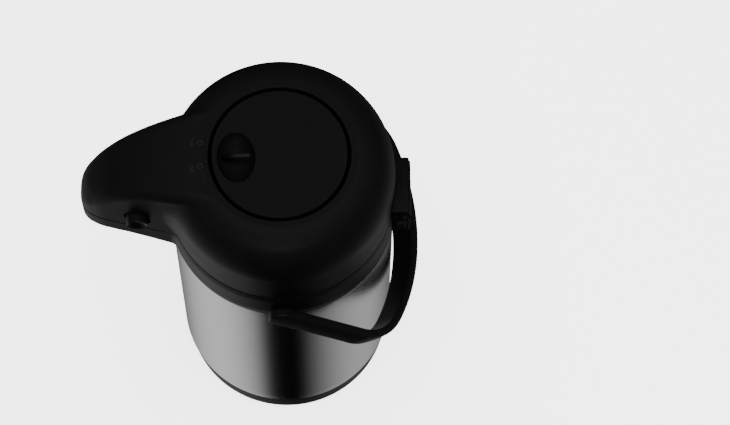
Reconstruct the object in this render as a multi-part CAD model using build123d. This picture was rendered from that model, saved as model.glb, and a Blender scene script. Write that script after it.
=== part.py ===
from build123d import *
from math import sin, cos, radians, sqrt, atan2, degrees
import os

# Airpot, millimetres. Origin: centre of the underside of the foot, on the body's axis.
# +Z up, the spout points to -Y, the lid hinge is at +Y.

# ---- driving dimensions ----
R_SHELL = 80.0          # outside radius of the steel body
T_STEEL = 0.8           # sheet thickness of the shell and of the liner
Z_SHELL_LO = 26.5       # lower edge of the steel body
Z_SHELL_HI = 238.6      # where the steel body starts to neck in under the collar
Z_COLLAR_LO = 240.4     # lower edge of the collar
Z_SEAM = 275.0          # seam between collar and lid
SEAM_GAP = 0.4
R_COLLAR = 81.5         # collar main band
R_LID = 79.8            # upright wall of the lid
Z_DOME = 309.6          # where the lid's wall turns into the dome
Z_TOP = 347.7           # flat of the dome and of the push plate
R_FLAT = 53.0           # radius of the dome's flat
WALL = 2.6              # moulded wall
R_HOLE = 49.4           # opening for the push plate
R_PLATE = 46.9          # push plate
PRESS = 25.0            # pump stroke
TURN_REST = 4.0         # the plate is stored turned this far from the spout's axis
R_LINER = 68.0          # liner outside radius
R_NECK = 41.5           # free radius of the neck
Z_LIP = 256.0           # top of the steel neck
Z_DECK = 271.4          # top of the collar's deck and of its sealing rim
Z_PIPE = 264.0          # centreline of the outlet pipe
R_PIPE = 5.0
SPOUT_TIP = 142.3       # reach of the spout from the body's axis
NOZZLE_Y = -128.0
Z_JAW = 256.0           # underside of the spout
JAW_SLOPE = 0.17        # the underside falls towards the body from JAW_BEND on
JAW_BEND = 110.0
BTN_Y = -101.0          # release buttons
BTN_Z = 292.0
BTN_END = 30.9          # outer end of a button from the middle plane
R_BTN_HOLE = 9.6
BTN_STROKE = 3.0
HINGE_Y = 87.0          # lid hinge axis
HINGE_Z = 275.0
EAR_X0, EAR_X1 = 15.0, 21.0
R_EAR = 5.0             # round top of the ears about the hinge axis
Z_HINGE_CAP = 280.6     # underside of the lid's cover over the ears
PIVOT_Z = 248.5         # handle pivots
ARM_IN, ARM_OUT = 82.1, 88.7
STRAP_W = 20.3
GRIP_X = 2.0            # the grip is this much wider than the arms, on the side towards the body
HANG = 41.6             # the handle hangs this far below level
HANDLE_L = 125.2        # pivot to the outside of the grip
HANDLE_RG = 131.3       # bow of the grip
HANDLE_RC = 42.4        # corners

os.makedirs("parts", exist_ok=True)
made = {}


def solid(shape):
    """One clean solid out of a result that may come back as a list or a compound."""
    if isinstance(shape, ShapeList):
        shape = Compound(children=list(shape))
    s = shape.solids()
    return s[0] if len(s) == 1 else Compound(children=list(s))


def save(name, shape):
    shape = solid(shape)
    made[name] = shape
    export_step(shape, f"parts/{name}.step")


def rev(points):
    """Ring or disc from a closed profile of (radius, z) points."""
    return revolve(Plane.XZ * make_face(Polyline(*points, close=True)), Axis.Z)


def tube(r_in, r_out, z0, z1):
    return rev([(r_in, z0), (r_out, z0), (r_out, z1), (r_in, z1)])


def cyl(r, z0, z1, x=0.0, y=0.0):
    return Pos(x, y, (z0 + z1) / 2) * Cylinder(r, z1 - z0)


def cylx(r, x0, x1, y, z):
    return Pos((x0 + x1) / 2, y, z) * Rot(0, 90, 0) * Cylinder(r, abs(x1 - x0))


def box(x0, x1, y0, y1, z0, z1):
    return Pos((x0 + x1) / 2, (y0 + y1) / 2, (z0 + z1) / 2) * Box(abs(x1 - x0), abs(y1 - y0), abs(z1 - z0))


def try_fillet(shape, edges, radii):
    """Fillet with the first radius that works."""
    edges = list(edges)
    if not edges:
        return shape
    for r in radii:
        try:
            out = fillet(edges, r)
            if out.is_valid and out.volume > 0:
                return out
        except Exception:
            continue
    return shape


# ---------------------------------------------------------------- foot
save("foot_pad", cyl(70.0, 0, 1.6))
save("swivel_foot", cyl(72.5, 1.6, 4.6) + tube(60, 64, 4.6, 5.8) + cyl(9.0, 4.6, 9.0) - cyl(3.0, 2.4, 9.2))
save("swivel_washer", tube(3.1, 14.0, 9.0, 10.4))
save("swivel_screw", cyl(3.0, 2.6, 10.4) + cyl(5.0, 10.4, 13.0) - Pos(0, 0, 12.2) * extrude(RegularPolygon(2.2, 6), 1.0))

# ---------------------------------------------------------------- base ring, nuts and shell bottom
STUD_R = 55.0
stud_at = [(STUD_R * cos(radians(a)), STUD_R * sin(radians(a))) for a in (90, 210, 330)]
base = rev([(9.35, 6.0), (74.0, 6.0), (74.6, 2.2), (77.0, 2.2), (77.4, 2.7), (79.2, 24.8), (79.0, 26.2),
            (76.8, 26.2), (76.8, 31.0), (74.6, 31.0), (74.4, 24.0), (73.8, 8.5), (9.35, 8.5)])
for x, y in stud_at:
    base += cyl(6.5, 8.0, 33.4, x, y)
for x, y in stud_at:
    base -= cyl(2.3, 5.0, 34.0, x, y)
    base -= cyl(5.0, 5.0, 10.5, x, y)
save("base_ring", base)
nuts = [Pos(x, y, 7.2) * (extrude(RegularPolygon(4.0, 6), 3.2) - cyl(2.0, -1, 5)) for x, y in stud_at]
save("base_nuts", Compound(children=[n.solid() if hasattr(n, "solid") else n for n in nuts]))
bottom = rev([(0, 34.0), (76.0, 34.0), (78.2, 33.0), (79.15, 33.0), (79.15, 36.0), (78.35, 36.0), (78.35, 34.4), (76.0, 34.8), (0, 34.8)])
for x, y in stud_at:
    bottom += cyl(2.0, 7.6, 34.4, x, y)
save("shell_bottom", bottom)

# ---------------------------------------------------------------- steel shell and liner
R_UNDER = 77.6          # steel under the collar
t = T_STEEL
save("outer_shell", rev([
    (78.9, Z_SHELL_LO), (79.7, Z_SHELL_LO + 0.1), (80.0, Z_SHELL_LO + 0.6), (80.0, 237.6), (79.8, 238.8), (79.2, 239.7), (78.3, 240.3), (R_UNDER, 240.8), (R_UNDER, 243.0),
    (76.4, 244.4), (72.0, 246.2), (60.0, 249.2), (48.0, 251.0), (44.6, 251.6), (43.6, 252.6), (43.6, Z_LIP - 0.8),
    (42.8, Z_LIP - 0.8), (42.8, 252.3), (44.2, 250.9), (48.0, 250.2), (59.8, 248.4), (71.7, 245.4), (75.8, 243.8), (R_UNDER - t, 242.6),
    (R_UNDER - t, 240.4), (77.9, 239.6), (78.6, 239.1), (79.05, 238.4), (79.2, 237.4), (79.2, Z_SHELL_LO + 1.1), (78.9, Z_SHELL_LO + 0.8)]))
ri = R_LINER - t
save("inner_liner", rev([
    (0, 38.0), (56.0, 38.0), (63.0, 40.4), (66.8, 45.0), (R_LINER, 52.0), (R_LINER, 232.0), (66.8, 238.0), (63.0, 241.6), (56.0, 243.8),
    (46.0, 245.6), (43.2, 246.8), (42.3, 249.0), (42.3, Z_LIP - 0.8), (43.6, Z_LIP - 0.8), (43.6, Z_LIP), (R_NECK, Z_LIP),
    (R_NECK, 248.6), (42.7, 246.2), (45.8, 244.8), (55.8, 243.0), (62.5, 240.9), (66.1, 237.6), (ri, 231.8), (ri, 52.2),
    (66.1, 45.4), (62.6, 41.1), (55.9, 38.8), (0, 38.8)]))
save("neck_gasket", tube(42.6, 45.6, Z_LIP + 0.8, Z_LIP + 2.4) + tube(44.0, 45.6, Z_LIP - 1.4, Z_LIP + 0.9))

# ---------------------------------------------------------------- spout outline shared by collar and lid
half = [(SPOUT_TIP, 0.0), (142.0, 4.8), (140.9, 8.8), (139.0, 11.9), (136.2, 14.5), (132.8, 16.5), (129.2, 18.2), (125.3, 19.5),
        (121.5, 20.5), (111.2, 23.1), (100.0, 25.6), (88.9, 28.2), (76.0, 31.3), (60.0, 35.1), (45.0, 38.8), (32.0, 42.0)]


def outline(shrink=0.0, root=40.0):
    """Plan of the spout as a face in XY, pointing to -Y; shrink moves its side walls inward."""
    pts = []
    n = len(half)
    for i, (u, w) in enumerate(half):
        a = half[max(i - 1, 0)]
        b = half[min(i + 1, n - 1)]
        tx, ty = b[0] - a[0], b[1] - a[1]
        if i == 0:
            tx, ty = 0.0, 1.0
        k = sqrt(tx * tx + ty * ty)
        nx, ny = ty / k, -tx / k
        pts.append((u - shrink * nx, w - shrink * ny if i else 0.0))
    right = [(w, -u) for u, w in pts]
    left = [(-w, -u) for u, w in pts]
    side = Spline(*(left[::-1] + right[1:]))
    back = Line(right[-1], left[-1])
    plan = make_face([side, back])
    return plan & (Pos(0, -root - 100, 0) * Rectangle(300, 200))


def inside_r(r, z0=0.0, z1=400.0):
    return cyl(r, z0, z1)


# ---------------------------------------------------------------- collar with the spout's lower jaw, hinge ears and handle bosses
ZC = Z_SEAM - SEAM_GAP
collar = rev([
    (80.3, Z_COLLAR_LO), (80.9, 242.2), (81.3, 245.2), (R_COLLAR, 249.0), (R_COLLAR - 0.2, 268.0), (80.6, ZC - 0.7), (80.1, ZC), (78.9, ZC),
    (78.6, Z_DECK), (46.0, Z_DECK), (42.2, Z_DECK), (42.2, Z_LIP + 2.4), (46.0, Z_LIP + 2.4), (46.0, 269.4), (78.6, 269.4), (78.7, 246.0), (78.4, Z_COLLAR_LO)])
jaw = Pos(0, 0, 240.0) * extrude(outline(), Z_SEAM - SEAM_GAP - 240.0)
below = Plane.YZ * make_face(Polyline((-150, 230), (-150, Z_JAW), (-JAW_BEND, Z_JAW), (-30, Z_JAW - JAW_SLOPE * (JAW_BEND - 30)), (-30, 230), close=True))
jaw -= Pos(-60, 0, 0) * extrude(below, 120)
low = [e for e in jaw.edges() if e.center().Z < Z_JAW + 0.05 and e.center().Y < -45]
jaw = try_fillet(jaw, low, (4.0, 3.0, 2.0, 1.0))
jaw -= inside_r(78.65, 200, 300)
collar += jaw
flare = [e for e in collar.edges() if e.length > 8 and abs(e.center().X) > 26 and e.center().Y < -60 and 258 < e.center().Z < 274
         and abs(e.bounding_box().max.X - e.bounding_box().min.X) < 1.0]
collar = try_fillet(collar, flare, (10.0, 8.0, 5.0, 3.0))
collar -= Pos(0, 0, 258.7) * extrude(outline(2.6, 60.0), 269.4 - 258.7)
collar -= (Pos(0, 0, Z_DECK) * extrude(outline(2.6, 60.0), 6.0)) - inside_r(60, 200, 300)
collar += (Pos(0, 0, 269.4) * extrude(outline(2.4, 60.0), Z_DECK - 269.4)) - inside_r(78.0, 200, 300)
collar -= cyl(7.7, 250, 262, 0, NOZZLE_Y)
# pipe passage through the sealing sleeve
collar -= Pos(0, -44, Z_PIPE) * Rot(90, 0, 0) * Cylinder(R_PIPE + 0.15, 12)
# slots for the latch hooks
for s in (-1, 1):
    collar -= box(s * 6.3, s * 14.6, -95.2, -89.2, 266, 275)
# handle bosses
for s in (-1, 1):
    boss = cylx(8.0, s * 79.0, s * 81.8, 0, PIVOT_Z)
    collar += boss - inside_r(78.8, 200, 300)
    collar -= cylx(4.0, s * 77.0, s * 83.0, 0, PIVOT_Z)
# hinge ears and the bridge between them
ear_face = make_face(Polyline((79.0, 249.0), (90.2, 249.0), (91.2, 250.0), (91.2, HINGE_Z), (82.0, HINGE_Z), (82.0, ZC - 0.2), (79.0, ZC - 0.2), close=True))
for s in (-1, 1):
    ear = extrude(Plane.YZ * ear_face, EAR_X1 - EAR_X0)
    ear = Pos(EAR_X0 if s > 0 else -EAR_X1, 0, 0) * ear
    ear += cylx(R_EAR, s * EAR_X0, s * EAR_X1, HINGE_Y, HINGE_Z)
    collar += ear
bridge = box(-EAR_X0 - 0.5, EAR_X0 + 0.5, 79.0, 91.2, 249.0, 268.0)
collar += bridge
collar -= inside_r(78.7, 249.5, 269.4) - inside_r(46.0, 200, 300)
collar -= cylx(2.0, -22, 19.0, HINGE_Y, HINGE_Z)
collar -= cylx(2.0, 19.0, 22.0, HINGE_Y, HINGE_Z)
# pocket for the hinge release slide
collar -= box(11.0, 22.0, 81.6, 89.4, 252.6, 266.4)
save("collar", collar)
save("hinge_pin", cylx(2.0, -21.3, 21.3, HINGE_Y, HINGE_Z))
tab = box(14.4, 20.6, 82.0, 89.0, 253.0, 266.0) - box(19.2, 21.0, 83.4, 87.6, 252.0, 261.6)
tab -= cylx(1.7, 13.0, 17.2, 85.5, 259.5)
save("hinge_release", tab)
rel_spring = Pos(11.0, 85.5, 259.5) * Rot(0, 90, 0) * (Cylinder(1.5, 5.9, align=(Align.CENTER, Align.CENTER, Align.MIN)) - Cylinder(1.0, 5.9, align=(Align.CENTER, Align.CENTER, Align.MIN)))
save("hinge_release_spring", rel_spring)

# ---------------------------------------------------------------- water path
holder = tube(38.6, 41.2, 249.6, Z_LIP + 0.1) + tube(38.6, 42.0, Z_LIP + 0.1, Z_LIP + 2.0)
holder += tube(7.3, 10.0, 249.6, 256.0)
for a in (30, 150, 270):
    holder += Rot(0, 0, a) * box(9.0, 39.5, -2.5, 2.5, 249.6, 252.4)
save("tube_holder", holder)
save("dip_tube", tube(4.0, 4.8, 44.0, 249.8))
save("tube_coupler", tube(R_PIPE, 7.2, 243.0, 256.6) - tube(4.0, 5.05, 240, 243.0))
path = FilletPolyline((0, 0, 250.0), (0, 0, Z_PIPE), (0, NOZZLE_Y, Z_PIPE), (0, NOZZLE_Y, 251.0), radius=7.5)
pipe_face = Plane(origin=(0, 0, 250.0), z_dir=(0, 0, 1)) * (Circle(R_PIPE) - Circle(R_PIPE - 0.9))
save("outlet_pipe", sweep(pipe_face, path=path))
noz = rev([(R_PIPE - 0.9, 246.5), (6.9, 246.5), (7.4, 247.0), (7.4, 258.6), (6.0, 258.6), (6.0, 255.6), (R_PIPE, 255.6), (R_PIPE, 251.0), (R_PIPE - 0.9, 251.0)])
save("nozzle", Pos(0, NOZZLE_Y, 0) * noz)

# ---------------------------------------------------------------- handle
AC = (HANDLE_L - HANDLE_RG) + sqrt((HANDLE_RG - HANDLE_RC) ** 2 - (ARM_OUT - HANDLE_RC) ** 2)


def bail_line(off):
    """Outline of the bail in its own plane: x across, y along the arms."""
    rg, rc, A = HANDLE_RG - off, HANDLE_RC - off, ARM_OUT - off
    cg = (0.0, HANDLE_L - HANDLE_RG)
    c1 = (ARM_OUT - HANDLE_RC, AC)
    phi = atan2(c1[0] - cg[0], c1[1] - cg[1])     # from the arm direction to the tangent point
    tp = (cg[0] + rg * sin(phi), cg[1] + rg * cos(phi))
    mid = (c1[0] + rc * sin((phi + radians(90)) / 2), c1[1] + rc * cos((phi + radians(90)) / 2))
    return A, tp, mid, (0.0, cg[1] + rg)


A0, tp0, mid0, top0 = bail_line(0.0)
T_ARM = ARM_OUT - ARM_IN
A1, tp1, mid1, top1 = bail_line(T_ARM)
edges = [
    Line((A0, 0), (A0, AC)), ThreePointArc((A0, AC), mid0, tp0), ThreePointArc(tp0, top0, (-tp0[0], tp0[1])),
    ThreePointArc((-tp0[0], tp0[1]), (-mid0[0], mid0[1]), (-A0, AC)), Line((-A0, AC), (-A0, 0)), Line((-A0, 0), (-A1, 0)),
    Line((-A1, 0), (-A1, AC)), ThreePointArc((-A1, AC), (-mid1[0], mid1[1]), (-tp1[0], tp1[1])), ThreePointArc((-tp1[0], tp1[1]), top1, tp1),
    ThreePointArc(tp1, mid1, (A1, AC)), Line((A1, AC), (A1, 0)), Line((A1, 0), (A0, 0))]
bail = Pos(0, 0, -STRAP_W / 2 - GRIP_X) * extrude(make_face(edges), STRAP_W + GRIP_X)
spare = Plane.YZ * make_face(Polyline((-30, -STRAP_W / 2), (62, -STRAP_W / 2), (104, -STRAP_W / 2 - GRIP_X), (104, -40), (-30, -40), close=True))
bail -= Pos(-110, 0, 0) * extrude(spare, 220)
for s in (-1, 1):
    bail += cylx(STRAP_W / 2, s * ARM_IN, s * ARM_OUT, 0, 0)
bail = try_fillet(bail, [e for e in bail.edges() if abs(e.center().Z - STRAP_W / 2) < 0.01 and e.length > 3], (1.4, 1.0, 0.6))
bail = try_fillet(bail, [e for e in bail.edges() if e.center().Z < -STRAP_W / 2 + 0.01 and e.length > 3], (1.4, 1.0, 0.6))
for s in (-1, 1):
    bail -= cylx(4.05, s * (ARM_IN - 1), s * (ARM_OUT - 1.8), 0, 0)
bail = Pos(0, 0, PIVOT_Z) * Rot(-HANG, 0, 0) * bail
save("handle_bail", bail)
screws = []
for s in (-1, 1):
    p = cylx(4.0, s * 78.3, s * (ARM_OUT - 2.0), 0, PIVOT_Z)
    p += cylx(4.7, s * 77.2, s * 78.4, 0, PIVOT_Z)
    screws.append(solid(p))
save("handle_pivot_pins", Compound(children=screws))

# ---------------------------------------------------------------- lid shell
HOOD_TOP = [(40.0, 346.9), (52.0, 347.2), (60.0, 346.9), (66.0, 346.0), (74.0, 344.2), (82.0, 342.3), (91.0, 339.6), (101.0, 335.0), (109.0, 330.2),
            (117.0, 324.0), (123.5, 317.6), (129.0, 311.0), (134.7, 303.4), (138.5, 297.0), (141.2, 289.5), (142.3, 282.0), (142.5, 274.0)]


def side_face(off=0.0, zlow=274.0):
    pts = []
    n = len(HOOD_TOP)
    for i, (u, z) in enumerate(HOOD_TOP):
        a = HOOD_TOP[max(i - 1, 0)]
        b = HOOD_TOP[min(i + 1, n - 1)]
        dx, dz = b[0] - a[0], b[1] - a[1]
        k = sqrt(dx * dx + dz * dz)
        pts.append((-(u + off * dz / k), z - off * dx / k))
    pts[-1] = (pts[-1][0], zlow)
    top = Spline(*pts)
    rest = Polyline(pts[-1], (pts[0][0], zlow), pts[0])
    return make_face([top] + list(rest.edges()))


def hood(off, z0):
    plan = Pos(0, 0, z0) * extrude(outline(off, 36.0), 90)
    side = Pos(-70, 0, 0) * extrude(Plane.YZ * side_face(off, z0), 140)
    h = solid(plan & side)
    top = [e for e in h.edges() if e.center().Z > z0 + 8 and e.center().Y < -40 and e.length > 25 and abs(e.center().X) > 3]
    return try_fillet(h, top, (9.0 - off, 7.0 - off, 5.0 - off, 3.0))


def dome(off, z0):
    """Solid of revolution under the dome's surface, moved inward by off."""
    a, b = R_LID - R_FLAT - off, Z_TOP - Z_DOME - off
    arc = EllipticalCenterArc((R_FLAT, Z_DOME), a, b, 0, arc_size=90)
    e = [Line((0, z0), (R_FLAT + a, z0)), Line((R_FLAT + a, z0), (R_FLAT + a, Z_DOME)), arc,
         Line((R_FLAT, Z_DOME + b), (0, Z_DOME + b)), Line((0, Z_DOME + b), (0, z0))]
    return revolve(Plane.XZ * make_face(e), Axis.Z)


Z_SKIRT = 309.0
outer_dome = dome(0.0, Z_SEAM)
outer = outer_dome + hood(0.0, Z_SEAM)
creases = [e for e in outer.edges() if e.length > 8 and abs(e.center().X) > 24 and e.center().Y < -40 and e.center().Z > 280
           and e.bounding_box().min.Z < 279 and e.bounding_box().size.Z > 30 and abs(e.center().X) < 50]
outer = try_fillet(outer, creases, (14.0, 11.0, 8.0, 5.0, 3.0))
inner = (dome(WALL, Z_SEAM - 2) - tube(R_HOLE - 1.0, 51.6, Z_SKIRT, 352)) + (hood(WALL, Z_SEAM - 2) - inside_r(54.5, 200, 360))
lid = outer - inner
lid -= cyl(R_HOLE, 260, 360)
POSTS = [(64.0 * cos(radians(a)), 64.0 * sin(radians(a))) for a in (35, 145, 215, 325)]
for x, y in POSTS:
    lid += (cyl(4.0, 278.0, 352, x, y) & outer_dome)
    lid -= cyl(1.5, 277.0, 290.0, x, y)
for s in (-1, 1):
    lid -= cylx(R_BTN_HOLE, s * 15.0, s * 40.0, BTN_Y, BTN_Z)
knuckle = box(-EAR_X1, EAR_X1, 79.0, 90.8, Z_HINGE_CAP, 285.0) + box(-14.6, 14.6, 79.0, 90.8, Z_SEAM + 0.6, 284.0)
knuckle = try_fillet(knuckle, [e for e in knuckle.edges() if abs(e.center().Z - 285) < 0.01 and e.center().Y > 80.0], (2.4, 1.5))
knuckle += cylx(R_EAR, -14.6, 14.6, HINGE_Y, HINGE_Z)
knuckle -= inside_r(77.6, 200, 400)
knuckle -= box(-22, 22, 77, 82.2, 268, Z_SEAM)
lid += knuckle
lid -= cylx(2.05, -22, 22, HINGE_Y, HINGE_Z)
save("lid_shell", lid)

# ---------------------------------------------------------------- under the lid
under = tube(4.0, 76.9, 275.8, 278.0) + tube(50.0, 52.2, 277.9, 305.5)
under -= tube(42.0, 46.4, 275.0, 276.4)
for x, y in POSTS:
    under -= cyl(1.6, 270, 280, x, y)
under -= box(-40, 40, -90, -72.0, 270, 282)
save("lid_undercover", under)
save("lid_seal", tube(42.1, 46.3, Z_DECK + 0.06, 276.4))
heads = []
for x, y in POSTS:
    heads.append(solid(cyl(3.2, 273.8, 275.8, x, y) + cyl(1.5, 275.7, 289.0, x, y) - box(x - 2.0, x + 2.0, y - 0.5, y + 0.5, 273.0, 274.8)))
save("lid_screws", Compound(children=heads))
save("air_valve", cyl(9.0, 274.4, 275.8) + cyl(1.6, 275.7, 280.0) + cyl(3.0, 279.9, 281.0) - tube(1.6, 3.9, 275.8, 279.9))
# plate that closes the spout's hood from below, with the bearing of the two release buttons
tongue = (Pos(0, 0, 275.6) * extrude(outline(3.4, 60.0), 1.3)) - inside_r(72.4, 200, 300)
tongue &= box(-60, 60, -139.0, -72.0, 270, 282)
for s in (-1, 1):
    tongue -= box(s * 15.6, s * 40, -112.0, -90.0, 270, 282)
    tongue -= box(s * 6.3, s * 15.7, -95.2, -89.2, 270, 282)
    tongue -= box(s * 6.3, s * 15.7, -106.2, -95.0, 270, 282)
tongue += box(-6.0, 6.0, -107.0, -95.6, 276.8, BTN_Z + 7.0)
tongue -= cylx(3.1, -10, 10, BTN_Y, BTN_Z)
save("hood_tongue", tongue)

for s, side in ((1, "right"), (-1, "left")):
    prof = Plane.XY * make_face(Polyline((17.0, 0), (17.0, 3.0), (19.0, 3.0), (19.0, 8.2), (BTN_END - 0.6, 7.4), (BTN_END, 6.6), (BTN_END - 0.9, 4.6), (BTN_END - 1.3, 2.4), (BTN_END - 1.4, 0), close=True))
    b = revolve(prof, Axis.X)
    stem = revolve(make_face(Polyline((4.2, 0), (4.2, 2.5), (4.7, 3.0), (17.1, 3.0), (17.1, 0), close=True)), Axis.X)
    b = b + stem
    b = Pos(0, BTN_Y, BTN_Z) * b
    fl = box(16.9, 19.1, -111.8, -90.2, 278.4, BTN_Z + 11.0)
    b = b + fl
    if s < 0:
        b = mirror(b, about=Plane.YZ)
    save(f"release_button_{side}", b)
    hk = box(9.8, 16.9, -94.6, -89.8, 278.6, 280.6) + box(9.8, 12.2, -94.6, -89.8, 265.0, 280.6)
    hk += extrude(Plane.XZ.offset(89.8) * make_face(Polyline((12.1, 265.0), (14.2, 267.4), (14.2, 268.9), (12.1, 268.9), close=True)), 4.8)
    if s < 0:
        hk = mirror(hk, about=Plane.YZ)
    save(f"latch_hook_{side}", hk)
    coil = Edge.make_helix(1.95, 9.6, 4.2, (0, 0, 0), (0, 0, 1))
    wire = Wire([coil])
    sec = Plane(origin=wire @ 0, z_dir=wire % 0) * Circle(0.35)
    sp = sweep(sec, path=wire, is_frenet=True)
    sp = Pos(6.6 if s > 0 else -16.35, BTN_Y, BTN_Z) * Rot(0, 90, 0) * sp
    save(f"button_spring_{side}", sp)

# ---------------------------------------------------------------- pump: lock ring, plate, bellows, spring
Z_RIB = 318.4          # ribs stay below the plate's disc at full stroke
Z_PLATE_SKIRT = 311.0   # and inside the plate's slotted skirt at rest
lock = tube(47.6, 48.8, 306.0, 340.0) + tube(47.6, 52.4, 306.0, 308.6)
for a in (0, 90, 180, 270):
    lock += Rot(0, 0, a + TURN_REST) * box(45.7, 48.0, -1.8, 1.8, 306.0, Z_RIB)
save("lock_ring", lock)

plate = cyl(R_PLATE, 344.4, Z_TOP) + tube(44.4, R_PLATE, Z_PLATE_SKIRT, 345.0)
plate = try_fillet(plate, [e for e in plate.edges() if abs(e.center().Z - Z_TOP) < 0.01], (0.5,))
SC = (0.0, -30.0)       # finger scoop, before the plate's rest turn
ell = lambda g: Pos(SC[0], SC[1], Z_TOP + 2.0) * scale(Sphere(1.0), by=(18.7 + g, 13.3 + g, 13.0 + g))
plate += ell(2.2) & cyl(R_PLATE - 0.2, 320, Z_TOP - 1.0)
plate += cyl(7.0, 333.6, 345.0)
plate -= ell(0.0)
blade = box(-1.5, 1.5, -41.4, -17.0, 334.6, Z_TOP - 0.8)
blade = try_fillet(blade, [e for e in blade.edges() if abs(e.center().Y + 41.4) < 0.01 and abs(e.center().Z - (Z_TOP - 0.8)) < 0.01], (6.0, 4.0))
plate += blade & ell(1.0)
for a in (0, 90, 180, 270):
    plate -= Rot(0, 0, a) * box(45.2, 49.0, -2.2, 2.2, 300.0, 344.0)
plate -= cyl(1.6, 330.0, 341.0)
save("push_plate", Rot(0, 0, TURN_REST) * plate)
save("bellows_cap", tube(1.7, 39.6, 331.0, 333.6))
save("cap_screw", cyl(1.6, 331.0, 340.6) + cyl(3.6, 328.8, 331.0) - box(-2.4, 2.4, -0.5, 0.5, 328.0, 329.8))
ridges = 6
zb0, zb1 = 278.0, 331.0
step = (zb1 - zb0 - 4.0) / ridges
outp, inp = [(40.4, zb0), (40.4, zb0 + 1.4), (33.6, zb0 + 2.0)], []
zz = zb0 + 2.0
for i in range(ridges):
    outp.append((40.0, zz + step / 2))
    outp.append((33.6, zz + step))
    zz += step
outp += [(38.4, zb1 - 0.9), (38.4, zb1)]
inp = [(r - 1.3, z) for r, z in outp]
inp[0] = (30.0, zb0)
inp[1] = (30.0, zb0 + 1.2)
inp[-1] = (30.0, zb1)
inp[-2] = (30.0, zb1 - 1.2)
save("bellows", rev(outp + inp[::-1]))
coil = Edge.make_helix(8.6, 51.2, 20.0, (0, 0, 278.9), (0, 0, 1))
wire = Wire([coil])
sec = Plane(origin=wire @ 0, z_dir=wire % 0) * Circle(0.85)
save("return_spring", sweep(sec, path=wire, is_frenet=True))

print(len(made), "nodes")
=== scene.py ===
import math

import bmesh
import bpy
import numpy as np
from mathutils import Matrix, Vector


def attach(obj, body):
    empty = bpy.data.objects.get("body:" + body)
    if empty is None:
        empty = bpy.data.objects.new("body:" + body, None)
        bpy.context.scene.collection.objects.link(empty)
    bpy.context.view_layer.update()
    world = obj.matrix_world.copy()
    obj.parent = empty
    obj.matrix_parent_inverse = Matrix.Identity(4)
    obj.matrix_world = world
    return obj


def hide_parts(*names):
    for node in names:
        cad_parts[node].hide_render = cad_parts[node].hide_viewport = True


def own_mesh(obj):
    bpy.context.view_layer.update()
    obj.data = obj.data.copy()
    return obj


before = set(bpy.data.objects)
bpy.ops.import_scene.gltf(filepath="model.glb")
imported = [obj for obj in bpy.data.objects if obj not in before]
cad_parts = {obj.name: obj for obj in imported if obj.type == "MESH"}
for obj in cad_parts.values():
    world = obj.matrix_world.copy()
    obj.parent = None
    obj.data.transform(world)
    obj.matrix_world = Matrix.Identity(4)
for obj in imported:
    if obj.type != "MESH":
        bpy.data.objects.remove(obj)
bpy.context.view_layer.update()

MM = 0.001


scene = bpy.context.scene
R = math.radians

# ------------------------------------------------------------------ camera
C = Vector((0.751277426, 0.030868785, 2.265978317))
RIGHT = Vector((0.016572, 0.99983, 0.008052))
DOWN = Vector((0.93811, -0.012762, -0.346102))
FWD = Vector((-0.345941, 0.01329, -0.938162))
cam_data = bpy.data.cameras.new("camera")
cam_data.sensor_width = 36.0
cam_data.lens = 147.6630559728
cam_data.clip_start = 0.05
cam_data.clip_end = 50.0
cam = bpy.data.objects.new("camera", cam_data)
scene.collection.objects.link(cam)
cam.matrix_world = Matrix((
    (RIGHT.x, -DOWN.x, -FWD.x, C.x),
    (RIGHT.y, -DOWN.y, -FWD.y, C.y),
    (RIGHT.z, -DOWN.z, -FWD.z, C.z),
    (0, 0, 0, 1)))
scene.camera = cam

# ------------------------------------------------------------------ material helpers


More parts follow.
